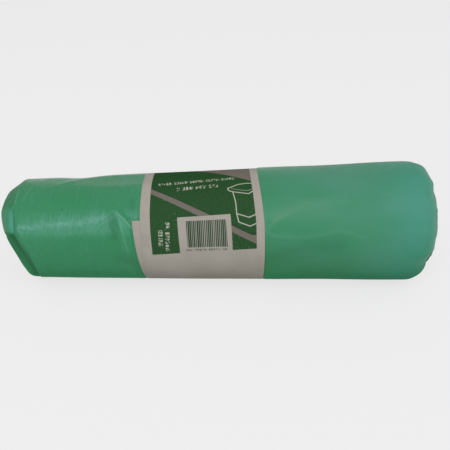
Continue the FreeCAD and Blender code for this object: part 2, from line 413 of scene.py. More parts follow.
def corner_vertices(piece):
    corners = np.empty(len(piece.data.loops), dtype=np.int64)
    piece.data.loops.foreach_get("vertex_index", corners)
    return corners


def write_map(piece, name, u, v):
    layer = piece.data.uv_layers.new(name=name)
    layer.data.foreach_set("uv", np.stack([u, v], axis=-1).reshape(-1))


def finish_piece(piece, material, slot, *nodes):
    piece.data.materials.clear()
    piece.data.materials.append(material)
    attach(piece, BODY)
    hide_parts(*nodes)


# The film skin: rows of points between the two ends, columns round the roll.
SIDE_STOPS = (-86.0, -60.0, -37.0, 20.0, 28.0, 86.0)
SIDE_STEPS = (1.0, 0.5, 1.6, 0.8, 1.5)
COLUMNS = 288
LEFT_ROWS = 66
RIGHT_ROWS = 46
END_RAYS = 520
END_LEAN = math.radians(82)
RELIEF_LEAN = math.radians(60)
RELIEF_LEANS_OVER = 30.0

# Columns at the loose edge, in degrees from it, in place of the plain one there.
EDGE_COLUMNS = (-0.5, -0.02, 0.02)

# Rows on both sides of the crease, so that its groove keeps its shape.
ROWS_BEFORE = 20
BESIDE_CREASE = (-0.2, -0.05, 0.08, 0.22, 0.4, 0.62)
GAP_BEFORE = 0.5
GAP_BEYOND = 0.9

# Radius at which the skin turns in and the film edges begin, depth of the floor behind them.
LEFT_STOP = 20.5
RIGHT_STOP = 25.0
FLOOR_DEPTH = 3.0
FLOOR_ROWS = 12

# Depth of the lip's rows below the end face, and how far they stand inside its radius.
LIP_ROWS = ((0.5, 0.35), (1.4, 0.5), (FLOOR_DEPTH, 0.5))
FLOOR_INSET = 0.5
EYE_DEPTHS = (6.0, 12.0, 24.0)
EYE_OVAL = 0.12
EYE_TURN = 0.6

# The end faces sink towards the eye from these radii inwards. The left one's two parts meet
# in a soft bend.
FACE_SINK = 2.0
LEFT_FACE_RADIUS = 22.5
RIGHT_FACE_RADIUS = 24.0
FACE_BEND = 3.0

# Radius at which the film is laid flat for its marks.
FLAT_RADIUS = 30.0


def column_angles():
    plain = np.linspace(-180, 180, COLUMNS + 1)[:-1]
    near_edge = np.abs(plain - LOOSE_EDGE) < 0.2
    step = [LOOSE_EDGE + apart for apart in EDGE_COLUMNS]
    return np.radians(np.sort(np.concatenate([plain[~near_edge], step])))


def side_stations():
    """Places along the side, closer together where the film is folded."""
    places = []
    for a, b, step in zip(SIDE_STOPS, SIDE_STOPS[1:], SIDE_STEPS):
        places.extend(np.linspace(a, b, int(round((b - a) / step)), endpoint=False))
    return np.array(places[1:])


def end_profile(start_x, side, phi, stop_radius, rows):
    """Rows of (x, r) from the side round the rim to where the turns show, one per column."""
    lean = side * np.linspace(0, END_LEAN, END_RAYS)[:, None]
    reach = surface_distance(start_x, lean, phi[None, :])
    x = start_x + reach * np.sin(lean)
    r = reach * np.cos(lean)
    out_x = np.empty((rows, len(phi)))
    out_r = np.empty((rows, len(phi)))
    for j in range(len(phi)):
        last = np.argmax(r[:, j] < stop_radius)
        xs, rs = x[:last + 1, j], r[:last + 1, j]
        steps = np.concatenate([[0], np.cumsum(np.hypot(np.diff(xs), np.diff(rs)))])
        wanted = np.linspace(0, steps[-1], rows)
        if side < 0:
            crease = np.interp(-crease_value(phi[j], 1), -xs, steps)
            rows_beyond = rows - ROWS_BEFORE - len(BESIDE_CREASE)
            wanted = np.concatenate([
                np.linspace(0, crease - GAP_BEFORE, ROWS_BEFORE),
                crease + np.array(BESIDE_CREASE),
                np.linspace(crease + GAP_BEYOND, steps[-1], rows_beyond)])
        out_x[:, j] = np.interp(wanted, steps, xs)
        out_r[:, j] = np.interp(wanted, steps, rs)
    return out_x, out_r


def end_face_x(r, phi, side):
    """Where the end face lies, sunk a little towards the eye."""
    if side > 0:
        return RIGHT_END - FACE_SINK * (1 - np.clip(r / RIGHT_FACE_RADIUS, 0, 1))
    flat = LEFT_END + FACE_SINK * (1 - np.clip(r / LEFT_FACE_RADIUS, 0, 1))
    slanted = slanted_face(r, phi)
    overlap = np.maximum(FACE_BEND - np.abs(flat - slanted), 0)
    return np.maximum(flat, slanted) + overlap ** 2 / (4 * FACE_BEND)


def end_rows(side, phi, stop_radius):
    """The end from its rim inwards: lip, floor behind the turns, eye and its closed bottom."""
    oval = 1 + EYE_OVAL * np.cos(2 * (phi - EYE_TURN))
    eye = bpy.context.scene.bag_roll.eye_radius / MM * oval
    lip = np.full(phi.shape, stop_radius)
    rows = [(depth, lip - inset) for depth, inset in LIP_ROWS]
    for share in np.linspace(0, 1, FLOOR_ROWS)[1:]:
        rows.append((FLOOR_DEPTH, (stop_radius - FLOOR_INSET) * (1 - share) + eye * share))
    rows.extend((depth, eye) for depth in EYE_DEPTHS)
    return [(end_face_x(r, phi, side) - side * depth, r) for depth, r in rows]


def skin_rows(phi):
    """All rows of the skin from the left eye over the side to the right eye."""
    stations = side_stations()
    reach = surface_distance(stations[:, None], 0.0, phi[None, :])
    side_x = np.broadcast_to(stations[:, None], reach.shape)
    first, last = SIDE_STOPS[0], SIDE_STOPS[-1]
    left_x, left_r = end_profile(first, -1, phi, LEFT_STOP, LEFT_ROWS)
    right_x, right_r = end_profile(last, 1, phi, RIGHT_STOP, RIGHT_ROWS)
    rows_x = np.concatenate([left_x[::-1], side_x, right_x])
    rows_r = np.concatenate([left_r[::-1], reach, right_r])
    relief = film_relief(rows_x, np.broadcast_to(phi, rows_x.shape))
    lean = np.clip((np.abs(rows_x) - last) / RELIEF_LEANS_OVER, 0, 1) * RELIEF_LEAN
    rows_r = rows_r + relief * np.cos(lean)
    rows_x = rows_x + np.sign(rows_x) * relief * np.sin(lean)
    left_end = end_rows(-1, phi, LEFT_STOP)[::-1]
    right_end = end_rows(1, phi, RIGHT_STOP)
    all_x = [x for x, _ in left_end] + list(rows_x) + [x for x, _ in right_end]
    all_r = [r for _, r in left_end] + list(rows_r) + [r for _, r in right_end]
    return np.array(all_x), np.array(all_r)


def build_skin():
    phi = column_angles()
    all_x, all_r = skin_rows(phi)
    points = to_row(all_x, all_r, np.broadcast_to(phi, all_x.shape))
    points[..., 2] = np.maximum(points[..., 2], 0.0)
    rows, columns = all_x.shape
    faces = []
    for i in range(rows - 1):
        for j in range(columns):
            a, b = i * columns + j, i * columns + (j + 1) % columns
            faces.append((a, a + columns, b + columns, b))
    flat = list(points.reshape(-1, 3))
    for row in (0, rows - 1):
        centre = len(flat)
        flat.append(points[row].mean(axis=0))
        for j in range(columns):
            a, b = row * columns + j, row * columns + (j + 1) % columns
            faces.append((centre, a, b) if row == 0 else (centre, b, a))
    piece = new_mesh("film_skin", flat, faces)
    place_film(piece, all_x, np.append(phi, phi[0] + 2 * math.pi), len(flat) - 2)
    return piece


def place_film(piece, all_x, turned, centres):
    """A flat map of the film in millimetres: along the roll, and round it at one radius."""
    rows, columns = all_x.shape
    corners = corner_vertices(piece)
    row, column = np.divmod(np.minimum(corners, rows * columns - 1), columns)
    quads = (rows - 1) * columns
    last = np.zeros(len(corners), bool)
    last[:quads * 4] = (np.arange(quads * 4) // 4) % columns == columns - 1
    arc = np.where(last & (column == 0), turned[-1], turned[column])
    middle_x = np.where(corners == centres, all_x[0, 0], all_x[-1, 0])
    x = np.where(corners >= centres, middle_x, all_x[row, column])
    write_map(piece, "Place", x, arc * FLAT_RADIUS)


class Wires:
    """Short ways to build one node tree."""

    def __init__(self, tree):
        self.tree = tree

    def feed(self, made, inputs):
        """Give a node's inputs constants, or the outputs of other nodes."""
        for key, value in inputs.items():
            if isinstance(value, bpy.types.NodeSocket):
                self.tree.links.new(value, made.inputs[key])
            else:
                made.inputs[key].default_value = value

    def node(self, kind, inputs=None, **settings):
        made = self.tree.nodes.new(kind)
        for key, value in settings.items():
            setattr(made, key, value)
        self.feed(made, inputs or {})
        return made

    def maths(self, operation, *values, clamp=False):
        inputs = dict(enumerate(values))
        return self.node("ShaderNodeMath", inputs, operation=operation, use_clamp=clamp).outputs[0]

    def times(self, a, b):
        return self.maths("MULTIPLY", a, b)

    def less(self, a, b):
        return self.maths("SUBTRACT", a, b)

    def either(self, a, b):
        return self.maths("MAXIMUM", a, b)

    def grow(self, a, factor, start, clamp=False):
        """a times a factor, added to a start."""
        return self.maths("MULTIPLY_ADD", a, factor, start, clamp=clamp)

    def blend(self, factor, a, b, mode="MIX"):
        tones = [v if isinstance(v, bpy.types.NodeSocket) else (*tuple(v)[:3], 1.0) for v in (a, b)]
        inputs = {"Factor": factor, 6: tones[0], 7: tones[1]}
        return self.node("ShaderNodeMix", inputs, data_type="RGBA", blend_type=mode).outputs[2]

    def paint(self, under, mask, strength, tone):
        """A tone laid over a colour where a mask shows."""
        return self.blend(self.times(mask, strength), under, tone)

    def ramp(self, value, low, high):
        """A value brought to 0 at low and 1 at high."""
        inputs = {"Value": value, "From Min": low, "From Max": high}
        made = self.node("ShaderNodeMapRange", inputs, clamp=True, interpolation_type="SMOOTHSTEP")
        return made.outputs["Result"]

    def noise(self, where, scale, detail=2.0, roughness=0.5):
        """A noise pattern. Three scales instead of one stretch it along the object's axes."""
        if isinstance(scale, tuple):
            mapping = self.node("ShaderNodeMapping", {"Vector": where, "Scale": scale})
            where, scale = mapping.outputs["Vector"], 1.0
        inputs = {"Vector": where, "Scale": scale, "Detail": detail, "Roughness": roughness}
        return self.node("ShaderNodeTexNoise", inputs).outputs["Fac"]

    def bump(self, height, strength, distance):
        inputs = {"Height": height, "Strength": strength, "Distance": distance}
        return self.node("ShaderNodeBump", inputs).outputs["Normal"]

    def mask(self, name, **values):
        """The mask that a shared node group draws."""
        return self.node("ShaderNodeGroup", values, node_tree=mask_group(name)).outputs["Mask"]


# The spirals of film edges in both end faces.
TURN_INPUTS = (
    ("Inner radius", "NodeSocketFloat", 0.005),
    ("Outer radius", "NodeSocketFloat", 0.02),
    ("Turns", "NodeSocketFloat", 12.0),
    ("Steps per turn", "NodeSocketInt", 96),
    ("Lip width", "NodeSocketFloat", 0.0008),
    ("Lip height", "NodeSocketFloat", 0.004),
    ("Wobble", "NodeSocketFloat", 0.0004),
    ("Seed", "NodeSocketFloat", 1.0),
    ("Material", "NodeSocketMaterial", None),
)
# How they fit: share of the eye's radius at which they start, how far they stop inside the
# lip, share of the pitch that a film edge fills, and how far the edges stand in.
WINDING_START = 1.25
WINDING_INSET = 0.9
EDGE_SHARE = 0.78
EDGE_HEIGHT = 0.0042
EDGE_WOBBLE = 0.0011
EDGE_SINK = 1.9


def add_sockets(tree, rows):
    for name, kind, value in rows:
        item = tree.interface.new_socket(name=name, in_out="INPUT", socket_type=kind)
        if value is not None:
            item.default_value = value


def turns_tree():
    """A spiral of film edges: rounded lips of even pitch, each a little out of line."""
    tree = bpy.data.node_groups.new("wound_turns", "GeometryNodeTree")
    add_sockets(tree, TURN_INPUTS)
    tree.interface.new_socket(name="Geometry", in_out="OUTPUT", socket_type="NodeSocketGeometry")
    wires = Wires(tree)
    given = wires.node("NodeGroupInput").outputs
    spiral = wires.node("GeometryNodeCurveSpiral", {
        "Resolution": given["Steps per turn"], "Rotations": given["Turns"], "Height": 0.0,
        "Start Radius": given["Inner radius"], "End Radius": given["Outer radius"]})
    place = wires.node("GeometryNodeInputPosition").outputs["Position"]
    noise = wires.node("ShaderNodeTexNoise", {
        "Vector": place, "W": given["Seed"], "Scale": 240.0, "Detail": 2.0}, noise_dimensions="4D")
    centred = wires.node("ShaderNodeVectorMath", {
        0: noise.outputs["Color"], 1: (0.5, 0.5, 0.5)}, operation="SUBTRACT")
    wobble = wires.node("ShaderNodeVectorMath", {
        0: centred.outputs[0], "Scale": given["Wobble"]}, operation="SCALE")
    moved = wires.node("GeometryNodeSetPosition", {
        "Geometry": spiral.outputs["Curve"], "Offset": wobble.outputs[0]})
    upright = wires.node("GeometryNodeSetCurveNormal", {"Curve": moved.outputs["Geometry"]}, mode="Z_UP")
    ring = wires.node("GeometryNodeCurvePrimitiveCircle", {"Resolution": 10, "Radius": 0.5})
    size = wires.node("ShaderNodeCombineXYZ", {
        "X": given["Lip width"], "Y": given["Lip height"], "Z": 1.0})
    lip = wires.node("GeometryNodeTransform", {
        "Geometry": ring.outputs["Curve"], "Scale": size.outputs["Vector"]})
    swept = wires.node("GeometryNodeCurveToMesh", {
        "Curve": upright.outputs["Curve"], "Profile Curve": lip.outputs["Geometry"], "Fill Caps": True})
    smooth = wires.node("GeometryNodeSetShadeSmooth", {"Geometry": swept.outputs["Mesh"]})
    real = wires.node("GeometryNodeRealizeInstances", {"Geometry": smooth.outputs["Geometry"]})
    painted = wires.node("GeometryNodeSetMaterial", {
        "Geometry": real.outputs["Geometry"], "Material": given["Material"]})
    wires.node("NodeGroupOutput", {"Geometry": painted.outputs["Geometry"]})
    return tree


def build_turns(name, side, stop_radius, tree, material):
    sizes = bpy.context.scene.bag_roll
    inner = sizes.eye_radius * WINDING_START
    outer = (stop_radius - WINDING_INSET) * MM
    values = {
        "Inner radius": inner,
        "Outer radius": outer,
        "Turns": (outer - inner) / sizes.turn_pitch,
        "Steps per turn": 84,
        "Lip width": sizes.turn_pitch * EDGE_SHARE,
        "Lip height": EDGE_HEIGHT,
        "Wobble": EDGE_WOBBLE,
        "Seed": 3.0 + side,
        "Material": material,
    }
    holder = bpy.data.objects.new(name, bpy.data.meshes.new(name))
    bpy.context.scene.collection.objects.link(holder)
    modifier = holder.modifiers.new("turns", "NODES")
    modifier.node_group = tree
    for item in tree.interface.items_tree:
        if item.item_type == "SOCKET" and item.in_out == "INPUT":
            modifier[item.identifier] = values[item.name]
    bpy.context.view_layer.update()
    graph = bpy.context.evaluated_depsgraph_get()
    mesh = bpy.data.meshes.new_from_object(holder.evaluated_get(graph))
    holder.modifiers.remove(modifier)
    mesh.name = name
    holder.data = mesh
    points = np.empty(len(mesh.vertices) * 3)
    mesh.vertices.foreach_get("co", points)
    points = points.reshape(-1, 3) / MM
    r = np.hypot(points[:, 0], points[:, 1])
    phi = np.arctan2(points[:, 0], points[:, 1]) * side
    x = end_face_x(r, phi, side) + side * (points[:, 2] - EDGE_SINK)
    mesh.vertices.foreach_set("co", to_row(x, r, phi).reshape(-1))
    mesh.update()
    return holder


# The paper strip. Its edges: degrees along the strip, and x. The tail is the inner end, which
# shows beside the outer one. Degrees run from the inner end, once round, to the outer end.
LEFT_EDGE = (
    (-307, -39.2), (-200, -38.9), (-90, -39.3), (0, -39.8), (18, -39.9), (47, -40.0),
    (64, -39.6), (81, -39.0), (121, -38.6), (160, -38.5))
RIGHT_EDGE = (
    (-307, 22.8), (-200, 23.8), (-90, 22.6), (-14, 21.9), (14, 22.6), (35, 23.8),
    (57, 25.0), (85, 25.4), (120, 25.6), (160, 25.6))
TAIL_EDGE = (
    (-307, -44.2), (-300, -43.8), (-277, -42.3), (-236, -39.6), (-217, -39.2), (-180, -38.9),
    (-90, -39.3))
TAIL_SHOWS = 52.5
STRIP_WIDTH = 64.0
STRIP_COLUMNS = 66
OUTER_END = 143.0

# Rows along the strip: from, to and step in degrees, closest where the strip climbs on itself.
STRIP_STEPS = ((-307.0, 49.0, 1.6), (50.0, 56.0, 0.35), (56.0, OUTER_END, 1.4))
CLIMB = (51.0, 53.6)
CLIMB_HEIGHT = 0.24
UNDER_STRIP = 0.14
PAPER_WAVE = 0.05
PAPER_WAVE_SCALE = 9.0


def edge_at(table, degrees):
    """A smooth curve through the edge's measured places."""
    angles = np.array([row[0] for row in table], float)
    places = np.array([row[1] for row in table], float)
    near = [np.interp(degrees + shift, angles, places) for shift in (-6, -3, 0, 3, 6)]
    return (near[0] + 2 * near[1] + 3 * near[2] + 2 * near[3] + near[4]) / 9


def strip_edges(phi):
    """Where the strip covers the film at an angle round the roll, in x."""
    degrees = np.degrees(half_turn(phi))
    left = edge_at(LEFT_EDGE, degrees)
    tail = edge_at(TAIL_EDGE, degrees - 360)
    left = np.where(degrees > TAIL_SHOWS, np.minimum(left, tail), left)
    return left, edge_at(RIGHT_EDGE, degrees)


def strip_middle(x, phi):
    """Radius of the middle of the sheet, over the film or over its own inner end."""
    climb = smooth_step(*CLIMB, np.degrees(phi))
    seed = bpy.context.scene.bag_roll.wave_seed + 5
    wavy = PAPER_WAVE * waves(x, phi, PAPER_WAVE_SCALE, seed)
    middle = surface_distance(x, 0.0, phi) - UNDER_STRIP + CLIMB_HEIGHT * climb + wavy
    outer_turn = phi > math.radians(-90)
    for row in CREASES:
        middle = middle + np.where(outer_turn, fold(x, phi, *row), 0)
    return middle


def build_strip():
    """One sheet from its inner end, once round, to its outer end over the first."""
    thick = bpy.context.scene.bag_paper.thickness / MM
    degrees = np.concatenate([np.arange(*row) for row in STRIP_STEPS] + [[OUTER_END]])
    left = np.where(degrees < -90, edge_at(TAIL_EDGE, degrees), edge_at(LEFT_EDGE, degrees))
    right = edge_at(RIGHT_EDGE, degrees)
    across = np.linspace(0, 1, STRIP_COLUMNS)
    x = left[:, None] * (1 - across) + right[:, None] * across
    phi = np.radians(degrees)[:, None] + 0 * x
    middle = strip_middle(x, phi)
    top = to_row(x, middle + thick / 2, phi)
    bottom = to_row(x, middle - thick / 2, phi)
    under = np.abs((degrees + 180) % 360 - 180) > 160
    top[..., 2] = np.maximum(top[..., 2], 0.0)
    bottom[..., 2] = np.maximum(bottom[..., 2], np.where(under[:, None], thick * MM, 0.0))
    rows, columns = x.shape
    count = rows * columns
    faces = []
    for i in range(rows - 1):
        for j in range(columns - 1):
            a = i * columns + j
            faces.append((a, a + columns, a + columns + 1, a + 1))
            b = a + count
            faces.append((b, b + 1, b + columns + 1, b + columns))
    rim = [(i * columns, (i + 1) * columns) for i in range(rows - 1)]
    rim.extend(((rows - 1) * columns + j, (rows - 1) * columns + j + 1) for j in range(columns - 1))
    rim.extend(((i + 1) * columns + columns - 1, i * columns + columns - 1) for i in range(rows - 1))
    rim.extend((j + 1, j) for j in range(columns - 1))
    faces.extend((a, a + count, b + count, b) for a, b in rim)
    points = np.concatenate([top.reshape(-1, 3), bottom.reshape(-1, 3)])
    piece = new_mesh("paper_strip", points, [tuple(reversed(f)) for f in faces])
    corners = corner_vertices(piece) % count
    u = np.broadcast_to(across * STRIP_WIDTH, x.shape).reshape(-1)
    v = (np.radians(degrees)[:, None] * roll_radius(x)).reshape(-1)
    write_map(piece, "Print", u[corners], v[corners])
    mark_sharp_rim(piece, count)
    return piece


def mark_sharp_rim(piece, count):
    """The sheet's cut edges stay crisp."""
    mesh = piece.data
    ends = np.empty(len(mesh.edges) * 2, dtype=np.int64)
    mesh.edges.foreach_get("vertices", ends)
    walls = {}
    for polygon in mesh.polygons:
        wall = len({v // count for v in polygon.vertices}) == 2
        for key in polygon.edge_keys:
            walls.setdefault(key, set()).add(wall)
    sharp = [len(walls[tuple(sorted(pair))]) == 2 for pair in ends.reshape(-1, 2).tolist()]
    marks = mesh.attributes.get("sharp_edge") or mesh.attributes.new("sharp_edge", "BOOLEAN", "EDGE")
    marks.data.foreach_set("value", sharp)


# Shader node groups that put out one mask, with their inputs' defaults (none for a vector).
def spot_mask(wires, given):
    """A small round spot at a place on the object."""
    apart = wires.node("ShaderNodeVectorMath", {0: given["Where"], 1: given["Place"]},
                       operation="DISTANCE")
    share = wires.maths("DIVIDE", apart.outputs["Value"], given["Radius"])
    return wires.maths("SUBTRACT", 1.5, share, clamp=True)


def edge_mask(wires, given):
    """One side of a straight line a u + b v + c, with a soft edge."""
    total = wires.grow(given["U"], given["A"], given["C"])
    total = wires.grow(given["V"], given["B"], total)
    return wires.maths("ADD", wires.maths("DIVIDE", total, given["Soft"]), 0.5, clamp=True)


def pen_mask(wires, given):
    """A straight pen line between two points, with round ends."""
    du = wires.less(given["U"], given["U0"])
    dv = wires.less(given["V"], given["V0"])
    dot = wires.grow(du, given["DU"], wires.times(dv, given["DV"]))
    square = wires.grow(given["DU"], given["DU"], wires.times(given["DV"], given["DV"]))
    t = wires.maths("DIVIDE", dot, square, clamp=True)
    eu = wires.less(du, wires.times(t, given["DU"]))
    ev = wires.less(dv, wires.times(t, given["DV"]))
    distance = wires.maths("SQRT", wires.grow(eu, eu, wires.times(ev, ev)))
    inside = wires.less(wires.times(given["Width"], 0.5), distance)
    return wires.maths("ADD", wires.maths("DIVIDE", inside, given["Soft"]), 0.5, clamp=True)


def bars_mask(wires, given):
    """Upright bars at an even pitch, each of its own width."""
    share = wires.maths("DIVIDE", given["Across"], given["Pitch"])
    cell = wires.maths("FLOOR", share)
    pair = wires.node("ShaderNodeCombineXYZ", {"X": cell, "Y": given["Seed"]})
    chance = wires.node("ShaderNodeTexWhiteNoise", {"Vector": pair.outputs["Vector"]},
                        noise_dimensions="2D")
    off = wires.maths("ABSOLUTE", wires.less(wires.less(share, cell), 0.5))
    half = wires.grow(chance.outputs["Value"], 0.26, 0.17)
    return wires.grow(wires.less(half, off), 9.0, 0.5, clamp=True)


def cells_mask(wires, given):
    """Small cells, each filled or left bare by chance."""
    column, row = (wires.maths("FLOOR", wires.maths("DIVIDE", given[way], given[step]))
                   for way, step in (("Across", "Module"), ("Up", "Rise")))
    trio = wires.node("ShaderNodeCombineXYZ", {"X": column, "Y": row, "Z": given["Seed"]})
    chance = wires.node("ShaderNodeTexWhiteNoise", {"Vector": trio.outputs["Vector"]},
                        noise_dimensions="3D")
    return wires.maths("LESS_THAN", chance.outputs["Value"], given["Share"])


MASK_GROUPS = {
    "small_spot": (spot_mask, {"Where": None, "Place": None, "Radius": 0.0004}),
    "straight_edge": (edge_mask, {"U": 0.0, "V": 0.0, "A": 1.0, "B": 0.0, "C": 0.0, "Soft": 0.12}),
    "pen_line": (pen_mask, {
        "U": 0.0, "V": 0.0, "U0": 0.0, "V0": 0.0, "DU": 0.0, "DV": 0.0, "Width": 0.5, "Soft": 0.14}),
    "random_bars": (bars_mask, {"Across": 0.0, "Pitch": 0.7, "Seed": 1.0}),
    "random_cells": (cells_mask, {
        "Across": 0.0, "Up": 0.0, "Module": 0.4, "Rise": 0.5, "Share": 0.5, "Seed": 1.0}),
}


def mask_group(name):
    """The shared node group of that name, made the first time it is asked for."""
    if name in bpy.data.node_groups:
        return bpy.data.node_groups[name]
    draw, defaults = MASK_GROUPS[name]
    group = bpy.data.node_groups.new(name, "ShaderNodeTree")
    add_sockets(group, [(title, "NodeSocketVector" if value is None else "NodeSocketFloat", value)
                        for title, value in defaults.items()])
    group.interface.new_socket(name="Mask", in_out="OUTPUT", socket_type="NodeSocketFloat")
    wires = Wires(group)
    mask = draw(wires, wires.node("NodeGroupInput").outputs)
    wires.node("NodeGroupOutput", {"Mask": mask})
    return group


class Drawing(Wires):
    """Masks drawn on a flat map of a surface, in its millimetres."""

    def __init__(self, tree, flat_map):
        super().__init__(tree)
        uv = self.node("ShaderNodeUVMap", uv_map=flat_map)
        parts = self.node("ShaderNodeSeparateXYZ", {"Vector": uv.outputs["UV"]}).outputs
        self.u, self.v = parts["X"], parts["Y"]

    def half(self, p, q, soft=0.12):
        """Everything on the right hand of the way from p to q, as seen on the print."""
        a, b = p[1] - q[1], q[0] - p[0]
        size = math.hypot(a, b)
        a, b = a / size, b / size
        c = -(a * p[0] + b * p[1])
        return self.mask("straight_edge", U=self.u, V=self.v, A=a, B=b, C=c, Soft=soft)

    def area(self, corners, soft=0.12):
        """A convex area given by its corners in turn."""
        sides = [self.half(p, q, soft) for p, q in zip(corners, corners[1:] + corners[:1])]
        return reduce(lambda a, b: self.maths("MINIMUM", a, b), sides)

    def path(self, points, width=0.5, soft=0.14):
        """A pen line through points."""
        return reduce(self.either, [
            self.mask("pen_line", U=self.u, V=self.v, U0=p[0], V0=p[1], DU=q[0] - p[0],
                      DV=q[1] - p[1], Width=width, Soft=soft)
            for p, q in zip(points, points[1:])])


# Specks stuck to the film: x, degrees and radius.
SPECKS = (
    (-81.0, 39.4, 0.4), (89.7, 36.7, 0.35), (92.9, 35.9, 0.25), (90.3, 40.6, 0.25),
    (81.1, 40.0, 0.3), (-107.4, 53.2, 0.2))

# Painted shade in the film's creases and grooves and on facets turned from the light: points in x and
# degrees, width, softness and strength.
SHADE_LINES = (
    (((-107.2, 37), (-106.4, 50), (-106.1, 64)), 0.35, 0.7, 0.45),
    (((-106.4, 65), (-103.6, 76.3), (-100.2, 90), (-98.6, 108), (-99.3, 137)), 0.35, 0.8, 0.55),
    (((-107.6, 68), (-105.0, 78), (-101.6, 90), (-100.2, 108), (-100.9, 137)), 2.0, 2.8, 0.62),
    (((-98.2, 74.2), (-93.9, 91.2), (-90.1, 116.6)), 0.2, 1.6, 0.10),
    (((-86.4, 42.3), (-85.9, 48.0), (-85.1, 54.0)), 0.15, 0.5, 0.30),
    (((-54.2, 50.0), (-54.4, 58.0), (-53.6, 68.0)), 3.0, 4.0, 0.34),
    (((-44.2, 30.0), (-43.6, 52.0)), 1.0, 4.0, 0.22),
    (((24.1, 99.2), (33.4, 91.7), (43.6, 85.1), (64.2, 80.6)), 3.0, 9.0, 0.22),
    (((-52.0, 93.0), (-41.5, 99.0)), 2.0, 5.0, 0.20),
)
# Painted highlights along the film's ridges and folds, in the same way.
HIGHLIGHT_LINES = (
    (((-107.6, 36.4), (-106.7, 26.6), (-106.2, 12.0)), 0.15, 0.7, 0.5),
    (((-103.0, 28.8), (-101.5, 18.8), (-100.0, 5.0)), 0.15, 0.7, 0.38),
    (((-52.0, 44.4), (-48.2, 51.0), (-43.8, 61.0)), 0.2, 0.9, 0.75),
    (((-51.6, 46.0), (-50.0, 57.0), (-46.4, 84.0)), 0.3, 1.8, 0.34),
    (((-52.0, 44.4), (-57.0, 51.0), (-62.9, 60.4)), 0.2, 2.0, 0.14),
    (((-49.0, 80.0), (-46.2, 86.0)), 0.2, 1.5, 0.2),
    (((23.7, 63.7), (30.4, 70.6), (41.8, 72.8), (53.6, 70.3), (63.7, 65.9), (76.7, 73.7)), 0.2, 3.0, 0.12),
    (((25.3, 66.0), (29.0, 58.0), (34.5, 52.0)), 0.5, 4.0, 0.14),
    (((27.8, 52.5), (38.1, 48.2), (46.0, 40.9), (66.6, 38.2)), 1.0, 7.0, 0.12),
    (((112.8, -190.0), (113.2, 40.0), (113.2, 190.0)), 3.0, 3.0, 0.16),
)
# Broad tints painted on the film: a paler, bluer patch at the thick end, painted shade in hollows and
# beside the strip, and painted highlights along ridges. Points in x and degrees, width, softness, strength
# and tone.
FILM_TINTS_SHADE_AND_HIGHLIGHTS = (
    (((102.0, -30.0), (106.0, 40.0), (104.0, 112.0)), 14.0, 34.0, 0.5, (0.035, 0.28, 0.21)),
    (((27.0, 104.0), (36.0, 101.0), (62.0, 112.0)), 8.0, 22.0, 0.45, (0.025, 0.16, 0.035)),
    (((28.0, 78.0), (29.0, 100.0)), 1.0, 9.0, 0.35, (0.03, 0.19, 0.04)),
    (((32.0, 50.0), (42.0, 45.0), (56.0, 46.0)), 2.0, 12.0, 0.30, (0.14, 0.26, 0.15)),
    (((29.0, 56.0), (37.0, 50.0)), 0.3, 2.0, 0.25, (0.20, 0.32, 0.20)),
    (((-44.0, 94.0), (-40.0, 112.0)), 3.0, 9.0, 0.30, (0.02, 0.15, 0.04)),
)
# The painted highlight: a pale, mottled streak along the lit band, in millimetres of the flat map.
HIGHLIGHT_STREAK = ((-103.5, 31.0), (-98.0, 29.6), (-80.0, 28.3), (-62.0, 27.4), (-54.0, 24.5))

# Areas at the left end, in x and degrees: the facet of the level strip, painted paler and bluer as lit,
# the film beyond the crease, painted in shade, and the front strip that isn't part of it.
LIT_FACET = ((-110.0, 37), (-107.2, 37), (-107.0, 63), (-109.4, 63))
BEVEL = ((-122.0, 60), (-106.2, 64), (-98.6, 108), (-98.6, 210), (-122.0, 210))
FRONT_STRIP = ((-122.0, 36), (-100.0, 36), (-100.0, 64), (-122.0, 64))

# What is painted over the film's colour, from real specks to painted sheen, highlights and shade:
# strength, and tone as linear red, green and blue.
SHEEN_STREAK_LOOK = (0.12, (0.12, 0.36, 0.25))
SPECK_LOOK = (0.75, (0.01, 0.035, 0.02))
HIGHLIGHT_STREAK_LOOK = (0.52, (0.31, 0.52, 0.53))
LIT_FACET_LOOK = (0.16, (0.06, 0.30, 0.33))
BEVEL_SHADE_LOOK = (0.55, (0.006, 0.11, 0.02))
UNDERSIDE_SHADE_TONE = (0.0135, 0.24, 0.076)
HIGHLIGHT_LINE_TONE = (0.22, 0.45, 0.34)
SHADE_LINE_TONE = (0.008, 0.06, 0.02)

# Patterns in the film: scales along, across and up the roll, detail and roughness of the noise.
PATCHES = ((16.0, 34.0, 34.0), 3.0)
SHEEN_STREAKS = ((420.0, 60.0, 60.0), 3.0, 0.6)
HIGHLIGHT_BLOTCHES = ((260.0, 420.0, 420.0), 6.0, 0.85)
MOTTLE = ((330.0, 120.0, 120.0), 4.0, 0.6)
FINE_CREASES = ((620.0, 130.0, 130.0), 3.0, 0.55)
RIPPLES = ((150.0, 90.0, 90.0),)
RIPPLE_SHARE = 2.2

# Where along and up the roll the colour and gloss change, in metres. The upper side is painted a sheen,
# and the underside and the left rim are painted in shade.
THICK_END = (-0.01, 0.09)
THIN_END = (-0.05, 0.03)
PAINTED_SHEEN_TOP = (0.022, 0.054)
UNDERSIDE = (0.010, 0.030)
LEFT_RIM = (-0.1105, -0.1030)

FILM_ROUGH = 0.27
ROUGHER_THICK_END = 0.22
ROUGHER_BELOW = 0.45
ROUGHER_MOTTLE = 0.25
RELIEF_HEIGHT = 0.00022


def flat_points(points):
    """Places given as x and degrees, on the film's own flat map."""
    return [(x, math.radians(angle) * FLAT_RADIUS) for x, angle in points]


def film_lines(art, rows):
    return reduce(art.either, [
        art.times(art.path(flat_points(points), width, soft), strength)
        for points, width, soft, strength in rows])


